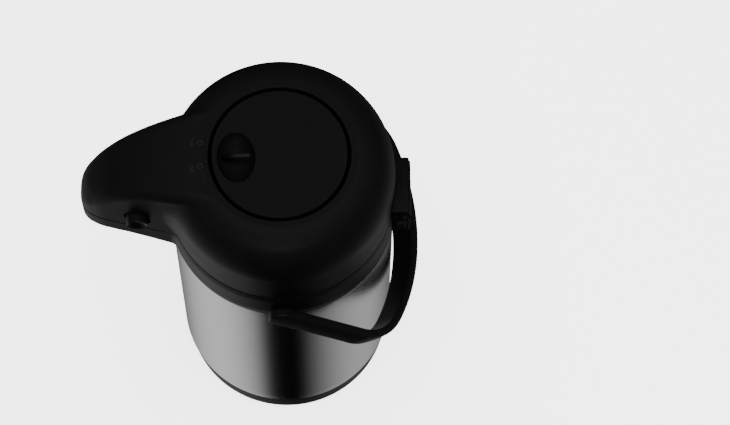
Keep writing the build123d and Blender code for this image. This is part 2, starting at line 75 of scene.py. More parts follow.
class Mat:
    """A node material with a Principled shader."""

    def __init__(self, name):
        self.m = bpy.data.materials.new(name)
        self.m.use_nodes = True
        self.t = self.m.node_tree
        self.t.nodes.clear()
        self.out = self.t.nodes.new("ShaderNodeOutputMaterial")
        self.p = self.t.nodes.new("ShaderNodeBsdfPrincipled")
        self.t.links.new(self.p.outputs[0], self.out.inputs[0])

    def n(self, kind, **kw):
        node = self.t.nodes.new(kind)
        for k, v in kw.items():
            setattr(node, k, v)
        return node

    def link(self, a, b):
        self.t.links.new(a, b)

    def math(self, op, a, b=None, clamp=False):
        x = self.n("ShaderNodeMath", operation=op)
        x.use_clamp = clamp
        for i, v in enumerate((a, b)):
            if v is None:
                continue
            if isinstance(v, (int, float)):
                x.inputs[i].default_value = v
            else:
                self.link(v, x.inputs[i])
        return x.outputs[0]

    def ramp(self, fac, stops, interp="LINEAR"):
        r = self.n("ShaderNodeValToRGB")
        r.color_ramp.interpolation = interp
        e = r.color_ramp.elements
        while len(e) > 1:
            e.remove(e[-1])
        e[0].position, e[0].color = stops[0][0], stops[0][1]
        for pos, col in stops[1:]:
            x = e.new(pos)
            x.color = col
        self.link(fac, r.inputs[0])
        return r.outputs[0]

    def coords(self, scale=(1, 1, 1)):
        tc = self.n("ShaderNodeTexCoord")
        mp = self.n("ShaderNodeMapping")
        mp.inputs["Scale"].default_value = scale
        self.link(tc.outputs["Object"], mp.inputs[0])
        return mp.outputs[0]

    def noise(self, vec, scale, detail=2.0, rough=0.5):
        x = self.n("ShaderNodeTexNoise")
        x.inputs["Scale"].default_value = scale
        x.inputs["Detail"].default_value = detail
        x.inputs["Roughness"].default_value = rough
        self.link(vec, x.inputs["Vector"])
        return x.outputs["Fac"]

    def map(self, v, a0, a1, b0, b1):
        x = self.n("ShaderNodeMapRange")
        for i, k in zip((1, 2, 3, 4), (a0, a1, b0, b1)):
            x.inputs[i].default_value = k
        self.link(v, x.inputs[0])
        return x.outputs[0]

    def bump(self, height, strength, distance, chain=None):
        x = self.n("ShaderNodeBump")
        x.inputs["Strength"].default_value = strength
        x.inputs["Distance"].default_value = distance
        self.link(height, x.inputs["Height"])
        if chain is not None:
            self.link(chain, x.inputs["Normal"])
        return x.outputs[0]

    def mix(self, fac, a, b):
        x = self.n("ShaderNodeMix", data_type="RGBA")
        self.link(fac, x.inputs[0])
        x.inputs[6].default_value = a
        x.inputs[7].default_value = b
        return x.outputs[2]


def grey(v, tint=(1.0, 1.0, 1.0)):
    return (v * tint[0], v * tint[1], v * tint[2], 1.0)


def plastic(name, base, spread, rough, grain=2200.0, bump=0.12, spec=0.5, tint=(1, 1, 1)):
    """Moulded plastic: fine spark-eroded grain, with faint clouding of gloss and colour."""
    m = Mat(name)
    v = m.coords()
    fine = m.noise(v, grain, 3.0, 0.6)
    broad = m.noise(v, 28.0, 3.0, 0.55)
    mid = m.noise(v, 420.0, 2.0, 0.5)
    m.link(m.mix(m.math("ADD", m.math("MULTIPLY", broad, 0.6), m.math("MULTIPLY", mid, 0.4)), grey(base - spread, tint), grey(base + spread, tint)), m.p.inputs["Base Color"])
    m.link(m.math("ADD", m.map(broad, 0.3, 0.7, rough - 0.03, rough + 0.03), m.map(fine, 0.2, 0.8, -0.03, 0.03)), m.p.inputs["Roughness"])
    m.p.inputs["Specular IOR Level"].default_value = spec
    m.p.inputs["IOR"].default_value = 1.5
    m.link(m.bump(fine, bump, 0.00006), m.p.inputs["Normal"])
    return m.m


def blade_plastic():
    """Plastic of the thumb blade with light painted into its colour: lighter along its middle as a painted highlight,
    dark at its ring end as painted shade.
    """
    m = Mat("scoop_blade_plastic")
    tc = m.n("ShaderNodeTexCoord")
    sep = m.n("ShaderNodeSeparateXYZ")
    m.link(tc.outputs["Object"], sep.inputs[0])
    # painted light: 0 at the ring end gives painted shade, 1 towards the middle gives a painted highlight
    painted_light_fac = m.map(sep.outputs[1], -0.0362, -0.0292, 0.0, 1.0)
    v = m.coords()
    fine = m.noise(v, 3200.0, 3.0, 0.6)
    m.link(m.mix(painted_light_fac, grey(0.0012), grey(0.0060)), m.p.inputs["Base Color"])
    m.link(m.map(fine, 0.2, 0.8, 0.36, 0.42), m.p.inputs["Roughness"])
    m.p.inputs["Specular IOR Level"].default_value = 0.14
    m.p.inputs["IOR"].default_value = 1.5
    m.link(m.bump(fine, 0.05, 0.00006), m.p.inputs["Normal"])
    return m.m


def brushed(name, base, rough, aniso):
    """Steel sheet brushed round the Z axis."""
    m = Mat(name)
    tc = m.n("ShaderNodeTexCoord")
    sep = m.n("ShaderNodeSeparateXYZ")
    m.link(tc.outputs["Object"], sep.inputs[0])
    ang = m.math("ARCTAN2", sep.outputs[1], sep.outputs[0])
    comb = m.n("ShaderNodeCombineXYZ")
    m.link(m.math("MULTIPLY", m.math("COSINE", ang), 1.3), comb.inputs[0])
    m.link(m.math("MULTIPLY", m.math("SINE", ang), 1.3), comb.inputs[1])
    m.link(m.math("MULTIPLY", sep.outputs[2], 5200.0), comb.inputs[2])
    fine = m.noise(comb.outputs[0], 1.0, 4.0, 0.7)
    comb2 = m.n("ShaderNodeCombineXYZ")
    m.link(m.math("MULTIPLY", m.math("COSINE", ang), 4.0), comb2.inputs[0])
    m.link(m.math("MULTIPLY", m.math("SINE", ang), 4.0), comb2.inputs[1])
    m.link(m.math("MULTIPLY", sep.outputs[2], 1300.0), comb2.inputs[2])
    scratch = m.noise(comb2.outputs[0], 1.0, 3.0, 0.6)
    m.link(m.mix(m.math("ADD", m.math("MULTIPLY", fine, 0.6), m.math("MULTIPLY", scratch, 0.4)), grey(base * 0.95, (1.0, 0.995, 0.99)), grey(base * 1.05, (1.0, 0.995, 0.99))), m.p.inputs["Base Color"])
    m.p.inputs["Metallic"].default_value = 1.0
    m.link(m.map(fine, 0.25, 0.75, rough - 0.03, rough + 0.03), m.p.inputs["Roughness"])
    m.p.inputs["Anisotropic"].default_value = aniso
    m.p.inputs["Anisotropic Rotation"].default_value = 0.25
    tan = m.n("ShaderNodeTangent", direction_type="RADIAL", axis="Z")
    m.link(tan.outputs[0], m.p.inputs["Tangent"])
    m.link(m.bump(m.math("ADD", m.math("MULTIPLY", fine, 0.6), m.math("MULTIPLY", scratch, 0.4)), 0.035, 0.00003), m.p.inputs["Normal"])
    return m.m


def satin_metal(name, base, rough):
    m = Mat(name)
    v = m.coords()
    a = m.noise(v, 900.0, 3.0, 0.6)
    b = m.noise(v, 60.0, 3.0, 0.5)
    m.link(m.mix(b, grey(base * 0.92), grey(base * 1.06)), m.p.inputs["Base Color"])
    m.p.inputs["Metallic"].default_value = 1.0
    m.link(m.map(a, 0.25, 0.75, rough - 0.05, rough + 0.06), m.p.inputs["Roughness"])
    m.link(m.bump(a, 0.06, 0.00004), m.p.inputs["Normal"])
    return m.m


def elastic(name, base, rough, tint=(1, 1, 1)):
    m = Mat(name)
    v = m.coords()
    a = m.noise(v, 1500.0, 3.0, 0.6)
    b = m.noise(v, 45.0, 3.0, 0.5)
    m.link(m.mix(b, grey(base * 0.85, tint), grey(base * 1.1, tint)), m.p.inputs["Base Color"])
    m.link(m.map(a, 0.2, 0.8, rough - 0.06, rough + 0.06), m.p.inputs["Roughness"])
    m.p.inputs["Specular IOR Level"].default_value = 0.35
    m.link(m.bump(a, 0.15, 0.00005), m.p.inputs["Normal"])
    return m.m


BLACK = plastic("black_satin_plastic", 0.0036, 0.0006, 0.42, spec=0.057)
BLACK_COLLAR = plastic("black_collar_plastic", 0.0034, 0.0006, 0.42, spec=0.065)
BLACK_BAIL = plastic("black_bail_plastic", 0.0034, 0.0006, 0.42, spec=0.24)
BLACK_BASE = plastic("black_base_plastic", 0.0034, 0.0006, 0.50, spec=0.14)
BLACK_BUTTON = plastic("black_button_plastic", 0.0036, 0.0007, 0.34, spec=0.2)
BLADE = blade_plastic()
# darker base colour: painted shade for the hollow of the finger scoop
BLACK_BOWL_PAINTED_SHADE = plastic("black_bowl_painted_shade_plastic", 0.0027, 0.0005, 0.45, spec=0.05)
BLACK_SMOOTH = plastic("black_smooth_plastic", 0.010, 0.002, 0.30, grain=3200.0, bump=0.05, spec=0.45)
BLACK_DEEP = plastic("black_ring_plastic", 0.0012, 0.0003, 0.55, spec=0.0)
GREY = plastic("grey_plastic", 0.60, 0.02, 0.42, bump=0.06, tint=(1.0, 1.0, 0.97))
STEEL_BODY = brushed("steel_brushed_round", 0.60, 0.19, 0.80)
STEEL = satin_metal("steel_satin", 0.62, 0.30)
WIRE = satin_metal("spring_wire", 0.50, 0.22)
RUBBER = elastic("rubber_black", 0.022, 0.75)
SILICONE = elastic("silicone_white", 0.66, 0.5, (1.0, 0.985, 0.94))

SLOT_MAT = {"brushed": STEEL_BODY, "steel": STEEL, "spring_steel": WIRE, "black_plastic": BLACK, "grey_plastic": GREY, "rubber": RUBBER, "silicone": SILICONE}
NODE_MAT = {
    "foot_pad": RUBBER, "swivel_foot": BLACK, "swivel_washer": GREY, "swivel_screw": STEEL, "base_ring": BLACK, "base_nuts": STEEL, "shell_bottom": STEEL,
    "outer_shell": STEEL_BODY, "inner_liner": STEEL_BODY, "neck_gasket": SILICONE, "collar": BLACK, "hinge_pin": STEEL, "hinge_release_spring": WIRE,
    "tube_holder": GREY, "dip_tube": STEEL, "tube_coupler": SILICONE, "outlet_pipe": STEEL, "nozzle": BLACK_SMOOTH, "handle_pivot_pins": BLACK_SMOOTH,
    "hinge_release": STEEL, "handle_bail": BLACK, "lid_shell": BLACK, "lid_undercover": GREY, "lid_seal": SILICONE, "lid_screws": STEEL,
    "air_valve": SILICONE, "hood_tongue": BLACK, "bellows": SILICONE, "return_spring": WIRE, "button_spring_left": WIRE, "button_spring_right": WIRE,
    "lock_ring": BLACK_DEEP, "push_plate": BLACK, "bellows_cap": GREY, "cap_screw": STEEL, "release_button_left": BLACK_SMOOTH,
    "release_button_right": BLACK_SMOOTH, "latch_hook_left": BLACK_SMOOTH, "latch_hook_right": BLACK_SMOOTH}
for node_name, node_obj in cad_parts.items():
    node_obj.data.materials.clear()
    node_obj.data.materials.append(NODE_MAT[node_name])

# ------------------------------------------------------------------ mesh helpers (all lengths in mm until the mesh is made)


def mesh_from(name, verts, faces):
    me = bpy.data.meshes.new(name)
    me.from_pydata([(float(x) * MM, float(y) * MM, float(z) * MM) for x, y, z in verts], [], faces)
    me.validate()
    bm = bmesh.new()
    bm.from_mesh(me)
    bmesh.ops.recalc_face_normals(bm, faces=bm.faces)
    bm.to_mesh(me)
    bm.free()
    return me


def obj_from(name, me):
    o = bpy.data.objects.new(name, me)
    scene.collection.objects.link(o)
    return o


def torus_grid(rings):
    """Closed mesh from rings of equal length, wrapped both ways."""
    n = len(rings)
    k = len(rings[0])
    verts = np.concatenate([np.asarray(r, float) for r in rings])
    faces = []
    for i in range(n):
        a, b = i * k, ((i + 1) % n) * k
        for j in range(k):
            j2 = (j + 1) % k
            faces.append((a + j, a + j2, b + j2, b + j))
    return verts, faces


def lathe(name, profile, n=192, axis="Z", at=(0.0, 0.0)):
    """Closed mesh from a closed profile of (radius, height); points at radius 0 become poles."""
    verts, faces, rows = [], [], []
    for r, h in profile:
        if r < 1e-6:
            rows.append([len(verts)])
            verts.append((0.0, 0.0, h))
        else:
            start = len(verts)
            rows.append(list(range(start, start + n)))
            for j in range(n):
                a = 2 * math.pi * j / n
                verts.append((r * math.cos(a), r * math.sin(a), h))
    m = len(rows)
    for i in range(m):
        a, b = rows[i], rows[(i + 1) % m]
        if len(a) == 1 and len(b) == 1:
            continue
        for j in range(n):
            j2 = (j + 1) % n
            if len(a) == 1:
                faces.append((a[0], b[j2], b[j]))
            elif len(b) == 1:
                faces.append((a[j], a[j2], b[0]))
            else:
                faces.append((a[j], a[j2], b[j2], b[j]))
    if axis == "X":
        verts = [(h, at[0] + y, at[1] + x) for x, y, h in verts]
    else:
        verts = [(x + at[0], y + at[1], h) for x, y, h in verts]
    return mesh_from(name, verts, faces)


def rounded(points, radii, steps=5):
    """Closed profile with its corners rounded; radii is one number or one per corner."""
    n = len(points)
    if not hasattr(radii, "__len__"):
        radii = [radii] * n
    out = []
    P = [np.array(p, float) for p in points]
    for i in range(n):
        a, b, c = P[i - 1], P[i], P[(i + 1) % n]
        r = radii[i]
        u, v = a - b, c - b
        lu, lv = float(np.linalg.norm(u)), float(np.linalg.norm(v))
        if r <= 0 or lu < 1e-9 or lv < 1e-9:
            out.append(tuple(b))
            continue
        u, v = u / lu, v / lv
        cosang = float(np.clip(np.dot(u, v), -1, 1))
        ang = math.acos(cosang)
        if ang > math.pi - 0.05:
            out.append(tuple(b))
            continue
        d = min(r / math.tan(ang / 2), 0.45 * lu, 0.45 * lv)
        r = d * math.tan(ang / 2)
        bis = (u + v) / np.linalg.norm(u + v)
        cen = b + bis * (r / math.sin(ang / 2))
        p0, p1 = b + u * d, b + v * d
        a0 = math.atan2(*(p0 - cen)[::-1])
        a1 = math.atan2(*(p1 - cen)[::-1])
        da = (a1 - a0 + math.pi) % (2 * math.pi) - math.pi
        for s in range(steps + 1):
            t = a0 + da * s / steps
            out.append((cen[0] + r * math.cos(t), cen[1] + r * math.sin(t)))
    return out


def prism(name, poly, h0, h1, axis="Z", n_bevel=0.0):
    """Closed prism of a simple polygon. axis Z: polygon in (x, y). axis X: polygon in (y, z). axis Y: polygon in (x, z)."""
    n = len(poly)
    verts = []
    if n_bevel > 0:
        levels = [(h0, n_bevel), (h0 + n_bevel * 0.3, n_bevel * 0.3), (h0 + n_bevel, 0.0), (h1 - n_bevel, 0.0), (h1 - n_bevel * 0.3, n_bevel * 0.3), (h1, n_bevel)]
    else:
        levels = [(h0, 0.0), (h1, 0.0)]
    P = np.array(poly, float)
    area = 0.5 * np.sum(P[:, 0] * np.roll(P[:, 1], -1) - np.roll(P[:, 0], -1) * P[:, 1])
    if area < 0:
        P = P[::-1]
    e0 = P - np.roll(P, 1, axis=0)
    e1 = np.roll(P, -1, axis=0) - P
    n0 = np.stack([e0[:, 1], -e0[:, 0]], 1) / np.linalg.norm(e0, axis=1)[:, None]
    n1 = np.stack([e1[:, 1], -e1[:, 0]], 1) / np.linalg.norm(e1, axis=1)[:, None]
    nb = n0 + n1
    nb = nb / np.maximum(np.sum(nb * n0, axis=1), 0.3)[:, None]
    for h, inset in levels:
        Q = P - nb * inset
        for a, b in Q:
            verts.append((a, b, h) if axis == "Z" else ((h, a, b) if axis == "X" else (a, h, b)))
    faces = [tuple(range(n)), tuple(range((len(levels) - 1) * n, len(levels) * n))[::-1]]
    for k in range(len(levels) - 1):
        for j in range(n):
            j2 = (j + 1) % n
            faces.append((k * n + j, (k + 1) * n + j, (k + 1) * n + j2, k * n + j2))
    return mesh_from(name, verts, faces)


def box_mesh(name, x0, x1, y0, y1, z0, z1, bevel=0.0):
    return prism(name, [(x0, y0), (x1, y0), (x1, y1), (x0, y1)], z0, z1, "Z", bevel)


def cylinder(name, r, h0, h1, axis, a, b, n=72):
    poly = [(a + r * math.cos(2 * math.pi * i / n), b + r * math.sin(2 * math.pi * i / n)) for i in range(n)]
    return prism(name, poly, h0, h1, axis)


def combine(base, other, op):
    """Boolean of two closed meshes; other is removed afterwards."""
    a = obj_from("bool_a", base)
    b = obj_from("bool_b", other)
    mod = a.modifiers.new("b", "BOOLEAN")
    mod.operation = op
    mod.object = b
    try:
        mod.solver = "MANIFOLD"
    except TypeError:
        mod.solver = "EXACT"
    bpy.context.view_layer.update()
    dg = bpy.context.evaluated_depsgraph_get()
    res = bpy.data.meshes.new_from_object(a.evaluated_get(dg))
    if len(res.polygons) == 0:
        mod.solver = "EXACT"
        bpy.context.view_layer.update()
        dg = bpy.context.evaluated_depsgraph_get()
        res = bpy.data.meshes.new_from_object(a.evaluated_get(dg))
    bpy.data.objects.remove(a)
    bpy.data.objects.remove(b)
    return res


def piece(name, me, mat, body, replaces=(), angle=35.0, flat=False):
    me.name = name
    me.materials.clear()
    me.materials.append(mat)
    me.polygons.foreach_set("material_index", [0] * len(me.polygons))
    me.shade_smooth()
    if angle is not None:
        me.set_sharp_from_angle(angle=R(angle))
    o = obj_from(name, me)
    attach(o, body)
    if replaces:
        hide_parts(*replaces)
    return o


# ------------------------------------------------------------------ shape of lid and collar
R_LID, Z_DOME, Z_TOP, R_FLAT, AX, BZ = 79.8, 309.6, 347.7, 53.0, 26.8, 38.1
WALL = 2.6
HALF = [(142.3, 0.0), (142.0, 4.8), (140.9, 8.8), (139.0, 11.9), (136.2, 14.5), (132.8, 16.5), (129.2, 18.2), (125.3, 19.5),
        (121.5, 20.5), (111.2, 23.1), (100.0, 25.6), (88.9, 28.2), (76.0, 31.3), (60.0, 35.1), (45.0, 38.8), (32.0, 42.0), (16.0, 46.0), (0.0, 50.0)]
HOOD_TOP = [(-20.0, 347.7), (0.0, 347.7), (20.0, 347.7), (40.0, 347.7), (52.0, 347.5), (60.0, 346.9), (66.0, 346.0), (74.0, 344.3), (82.0, 342.3), (91.0, 339.6),
            (101.0, 335.0), (109.0, 330.2), (117.0, 324.0), (123.5, 317.6), (129.0, 311.0), (134.7, 303.4), (138.5, 297.0), (141.2, 289.5), (142.3, 282.0),
            (142.6, 274.0), (142.6, 262.0), (142.6, 250.0)]


def cubic(pts, step):
    """Dense points on the natural cubic spline through pts."""
    P = np.array(pts, float)
    t = np.r_[0, np.cumsum(np.linalg.norm(np.diff(P, axis=0), axis=1))]
    m = len(P)
    h = np.diff(t)
    A = np.zeros((m, m))
    B = np.zeros((m, 2))
    A[0, 0] = A[-1, -1] = 1
    for i in range(1, m - 1):
        A[i, i - 1], A[i, i], A[i, i + 1] = h[i - 1], 2 * (h[i - 1] + h[i]), h[i]
        B[i] = 6 * ((P[i + 1] - P[i]) / h[i] - (P[i] - P[i - 1]) / h[i - 1])
    M = np.linalg.solve(A, B)
    s = np.linspace(0, t[-1], int(t[-1] / step) + 1)
    i = np.clip(np.searchsorted(t, s) - 1, 0, m - 2)
    hi = h[i][:, None]
    a = ((t[i + 1] - s)[:, None]) / hi
    b = 1 - a
    return a * P[i] + b * P[i + 1] + ((a ** 3 - a) * M[i] + (b ** 3 - b) * M[i + 1]) * hi ** 2 / 6


class Curve:
    """Signed distance to a dense open curve, positive on its left-hand side turned outward."""

    def __init__(self, pts, step=0.15, cell=1.5):
        self.p = cubic(pts, step)
        d = np.gradient(self.p, axis=0)
        d /= np.linalg.norm(d, axis=1)[:, None]
        self.t = d
        self.nrm = np.stack([-d[:, 1], d[:, 0]], 1)
        self.step = float(np.mean(np.linalg.norm(np.diff(self.p, axis=0), axis=1)))
        self.cell = cell
        self.lo = self.p.min(0) - 160.0
        self.n = np.ceil((self.p.max(0) + 160.0 - self.lo) / cell).astype(int) + 1
        gx = self.lo[0] + (np.arange(self.n[0]) + 0.5) * cell
        gy = self.lo[1] + (np.arange(self.n[1]) + 0.5) * cell
        self.tab = np.zeros(self.n, np.int32)
        coarse = self.p[::4]
        for i, x in enumerate(gx):
            dd = (coarse[None, :, 0] - x) ** 2 + (coarse[None, :, 1] - gy[:, None]) ** 2
            self.tab[i] = np.argmin(dd, axis=1) * 4

    def dist(self, a, b):
        q = np.stack([a, b], 1)
        ij = np.clip(((q - self.lo) / self.cell).astype(int), 0, self.n - 1)
        k = self.tab[ij[:, 0], ij[:, 1]]
        top = len(self.p) - 1
        for _ in range(3):
            s = np.sum((q - self.p[k]) * self.t[k], axis=1) / self.step
            k = np.clip(k + np.clip(np.rint(s), -12, 12).astype(int), 0, top)
        v = q - self.p[k]
        along = np.sum(v * self.t[k], axis=1)
        side = np.sum(v * self.nrm[k], axis=1)
        far = np.maximum(np.abs(along) - self.step, 0)
        return np.where(far > 0, np.sign(side) * np.sqrt(side ** 2 + far ** 2), side)


PLAN = Curve([(u, w) for u, w in HALF[::-1]] + [(u, -w) for u, w in HALF[1:]])
TOP = Curve(HOOD_TOP)


def smin(a, b, k):
    k = np.maximum(k, 1e-6)
    h = np.clip(0.5 + 0.5 * (b - a) / k, 0, 1)
    return b * (1 - h) + a * h - k * h * (1 - h)


def rmax(a, b, r):
    x, y = np.maximum(a + r, 0), np.maximum(b + r, 0)
    return np.sqrt(x * x + y * y) + np.minimum(np.maximum(a + r, b + r), 0) - r


def step_to(x, a, b):
    t = np.clip((x - a) / (b - a), 0, 1)
    return t * t * (3 - 2 * t)


def dome_dist(r, z):
    a, b = (r - R_FLAT) / AX, (z - Z_DOME) / BZ
    q = np.sqrt(a * a + b * b) + 1e-9
    g = np.sqrt((a / AX) ** 2 + (b / BZ) ** 2) / q + 1e-9
    d = (q - 1) / g
    d = np.where(r <= R_FLAT, z - Z_TOP, d)
    d = np.where((z <= Z_DOME), r - R_LID, d)
    return np.where((r <= R_FLAT) & (z <= Z_DOME), np.maximum(r - R_LID, z - Z_TOP), d)


def lid_field(p):
    x, y, z = p[:, 0], p[:, 1], p[:, 2]
    u, w = -y, x
    r = np.sqrt(x * x + y * y)
    D = dome_dist(r, z)
    plan = np.maximum(PLAN.dist(u, w), -6.0 - u)
    top = TOP.dist(u, z)
    k = 4 + 5 * step_to(z, 277, 300) - 5 * step_to(z, 312, 344)
    L = smin(D, plan, k)
    rr = 0.8 + 7.0 * step_to(z, 277, 304)
    A = rmax(L, top, rr)
    return smin(A, D, 2.5 * step_to(r, 56, 74))


def collar_radius(z):
    zz = [240.4, 242.2, 245.2, 249.0, 268.0, 273.9, 274.6]
    rr = [80.3, 80.9, 81.3, 81.5, 81.3, 80.6, 80.1]
    return np.interp(z, zz, rr)


def collar_field(p):
    x, y, z = p[:, 0], p[:, 1], p[:, 2]
    u, w = -y, x
    r = np.sqrt(x * x + y * y)
    plan = np.maximum(PLAN.dist(u, w), -6.0 - u)
    jaw = rmax(plan, 256.0 - 0.17 * np.maximum(110.0 - u, 0.0) - z, 4.0)
    return smin(r - collar_radius(z), jaw, 4.0)


def cast(field, c, d, level=0.0, far=190.0, iters=34):
    """Distance along unit directions d from c to where field reaches level."""
    lo = np.zeros(len(d))
    hi = np.full(len(d), far)
    for _ in range(iters):
        mid = 0.5 * (lo + hi)
        f = field(c + d * mid[:, None])
        inside = f < level
        lo = np.where(inside, mid, lo)
        hi = np.where(inside, hi, mid)
    return 0.5 * (lo + hi)


NT = 560
TH = np.linspace(0, 2 * math.pi, NT, endpoint=False)
HX, HY = np.cos(TH), np.sin(TH)


def to_circle(c, radius):
    """Horizontal distance from c along each azimuth to the circle about the axis."""
    b = c[0] * HX + c[1] * HY
    return -b + np.sqrt(b * b - (c[0] ** 2 + c[1] ** 2 - radius ** 2))


def ring_on_circle(c, radius, z):
    s = to_circle(c, radius)
    return np.stack([c[0] + s * HX, c[1] + s * HY, np.full(NT, z)], 1)


def ring_level(field, z, level, c):
    cz = np.array([c[0], c[1], z])
    d = np.stack([HX, HY, np.zeros(NT)], 1)
    s = cast(field, cz, d, level)
    return cz + d * s[:, None]


def fan(field, c, el0, el1, rows, level=0.0):
    """Rings on the surface at elevations from el0 to el1 (arrays over azimuth)."""
    out = []
    for i in range(rows):
        t = i / (rows - 1)
        el = el0 + (el1 - el0) * t
        d = np.stack([HX * np.cos(el), HY * np.cos(el), np.sin(el)], 1)
        s = cast(field, c, d, level)
        out.append(c + d * s[:, None])
    return out


C0 = np.array([0.0, -40.0, 275.0])


def at_spout(ring):
    """1 round the spout, 0 round the body: the parting line is a deeper groove at the spout."""
    return step_to(-ring[:, 1], 78.0, 92.0)



def build_lid():
    base = ring_level(lid_field, 275.0, 0.0, C0)
    d0 = np.linalg.norm(base - C0, axis=1)
    g = at_spout(base)
    rings = [ring_level(lid_field, 275.0, -0.45 - 0.35 * g, C0), ring_level(lid_field, 275.12, -0.2 - 0.2 * g, C0)]
    R1 = 49.95
    h = to_circle(C0, R1)
    rings += fan(lid_field, C0, np.arctan2(0.45 + 0.3 * g, d0), np.arctan2(Z_TOP - C0[2], h), 150)
    rings[-1][:, 2] = Z_TOP
    for r, z in [(49.7, Z_TOP - 0.05), (49.52, Z_TOP - 0.19), (49.42, Z_TOP - 0.38), (49.4, Z_TOP - 0.6), (49.4, 343.0), (49.4, 335.0), (49.4, 322.0), (49.4, 309.4), (49.7, 309.0),
                 (51.1, 309.0), (51.4, 309.4), (51.4, 322.0), (51.4, 335.0), (51.4, 343.0)]:
        rings.append(ring_on_circle(C0, r, z))
    h2 = to_circle(C0, 51.4)
    inner = fan(lid_field, C0, np.zeros(NT), np.arctan2(Z_TOP - WALL - C0[2], h2), 70, -WALL)
    rings += inner[::-1]
    return mesh_from("lid", *torus_grid(rings))


def offset_outline(off, u_min):
    """Spout plan moved inward by off, from u_min to the tip, as a polygon in (x, y)."""
    p = PLAN.p - PLAN.nrm * off
    p = p[p[:, 0] > u_min][::6]
    return [(w, -u) for u, w in p]


def cut_x(me, r, x0, x1, y, z, n=96):
    return combine(me, cylinder("c", r, min(x0, x1), max(x0, x1), "X", y, z, n), "DIFFERENCE")


lid_me = build_lid()
knuckle = prism("k", rounded([(77.0, 275.6), (90.8, 275.6), (90.8, 284.0), (77.0, 284.0)], [0, 0.5, 0, 0], 6), -14.6, 14.6, "X", 0.3)
knuckle = combine(knuckle, cylinder("k2", 5.0, -14.6, 14.6, "X", 87.0, 275.0, 72), "UNION")
# cover over the ears, one smooth piece across the whole hinge
cap = prism("k5", rounded([(76.0, 280.6), (90.8, 280.6), (90.8, 285.0), (76.0, 285.0)], [0, 0.5, 2.4, 0], 8), -21.0, 21.0, "X", 1.1)
knuckle = combine(knuckle, cap, "UNION")
knuckle = combine(knuckle, cylinder("k3", 77.9, 200, 400, "Z", 0, 0, 256), "DIFFERENCE")
knuckle = combine(knuckle, box_mesh("k4", -22, 22, 77, 82.2, 266, 275.0), "DIFFERENCE")
lid_me = combine(lid_me, knuckle, "UNION")
for s in (-1, 1):
    lid_me = cut_x(lid_me, 9.6, s * 15, s * 42, -101.0, 292.0)
lid_me = cut_x(lid_me, 2.05, -22, 22, 87.0, 275.0, 48)
for a in (35, 145, 215, 325):
    px, py = 64 * math.cos(R(a)), 64 * math.sin(R(a))
    post = combine(cylinder("p", 4.0, 278.0, 339.6, "Z", px, py, 40), cylinder("p2", 1.5, 277.0, 290.0, "Z", px, py, 24), "DIFFERENCE")
    lid_me = combine(lid_me, post, "UNION")
lid_obj = piece("lid_moulding", lid_me, BLACK, "lid", ("lid_shell",), 32)


def build_collar():
    ZC = 274.6
    c = np.array([0.0, -40.0, ZC])
    top = ring_level(collar_field, ZC, 0.0, c)
    d0 = np.linalg.norm(top - c, axis=1)
    low = to_circle(c, 80.3)
    g = at_spout(top)
    rings = [ring_level(collar_field, ZC, -0.35 - 1.0 * g, c)]
    rings += fan(collar_field, c, -np.arctan2(0.12 + 0.9 * g, d0), -np.arctan2(ZC - 240.4, low), 90)
    for r, z in [(80.1, 240.15), (79.6, 240.1), (78.7, 240.1), (78.4, 240.4), (78.6, 244.0), (78.65, 249.0), (78.65, 256.0), (78.65, 263.0), (78.65, 269.4), (66.0, 269.4), (54.0, 269.4), (46.0, 269.4),
                 (46.0, 264.0), (46.0, 258.4), (42.2, 258.4), (42.2, 264.0), (42.2, 271.0), (42.5, 271.4), (50.0, 271.4), (60.0, 271.4), (70.0, 271.4)]:
        rings.append(ring_on_circle(c, r, z))
    rings += [ring_level(collar_field, 271.4, -3.1, c), ring_level(collar_field, 271.55, -2.75, c), ring_level(collar_field, 272.0, -2.6, c), ring_level(collar_field, 274.2, -2.6, c), ring_level(collar_field, ZC, -2.3, c)]
    return mesh_from("collar", *torus_grid(rings))


col = build_collar()
# cavity of the lower jaw, under the deck
col = combine(col, prism("c1", offset_outline(2.6, 60.0), 258.7, 269.4, "Z"), "DIFFERENCE")
col = combine(col, cylinder("c2", 7.7, 250, 262, "Z", 0, -128.0, 72), "DIFFERENCE")
col = combine(col, cylinder("c3", 5.15, -50.0, -38.0, "Y", 0, 264.0, 48), "DIFFERENCE")
for s in (-1, 1):
    col = combine(col, box_mesh("c4", min(s * 6.3, s * 14.6), max(s * 6.3, s * 14.6), -95.2, -89.2, 266, 276), "DIFFERENCE")
    boss = lathe("b", rounded([(0.0, min(s * 79.2, s * 81.8)), (8.0, min(s * 79.2, s * 81.8)), (8.0, max(s * 79.2, s * 81.8)), (0.0, max(s * 79.2, s * 81.8))], [0, 0.2, 0.2, 0], 4), 72, "X", (0.0, 248.5))
    col = combine(col, boss, "UNION")
    col = cut_x(col, 4.0, s * 77, s * 83, 0.0, 248.5, 48)
ear = rounded([(78.9, 249.0), (91.2, 249.0), (91.2, 275.0), (82.0, 275.0), (82.0, 274.3), (78.9, 274.3)], [0, 1.4, 0, 0, 0, 0], 5)
for s in (-1, 1):
    col = combine(col, prism("e", ear, min(s * 15.0, s * 21.0), max(s * 15.0, s * 21.0), "X", 0.3), "UNION")
    col = combine(col, cylinder("e2", 5.0, min(s * 15.0, s * 21.0), max(s * 15.0, s * 21.0), "X", 87.0, 275.0, 72), "UNION")
bridge = prism("br", rounded([(78.9, 249.0), (91.2, 249.0), (91.2, 268.0), (78.9, 268.0)], [0, 1.4, 1.0, 0], 5), -15.6, 15.6, "X")
col = combine(col, bridge, "UNION")
col = cut_x(col, 2.0, -22, 22, 87.0, 275.0, 48)
col = combine(col, box_mesh("c5", 11.0, 22.0, 81.6, 89.4, 252.6, 266.4), "DIFFERENCE")
collar_obj = piece("collar_moulding", col, BLACK_COLLAR, "jug", ("collar",), 32)

# ------------------------------------------------------------------ push plate with its finger scoop
TURN = 4.0


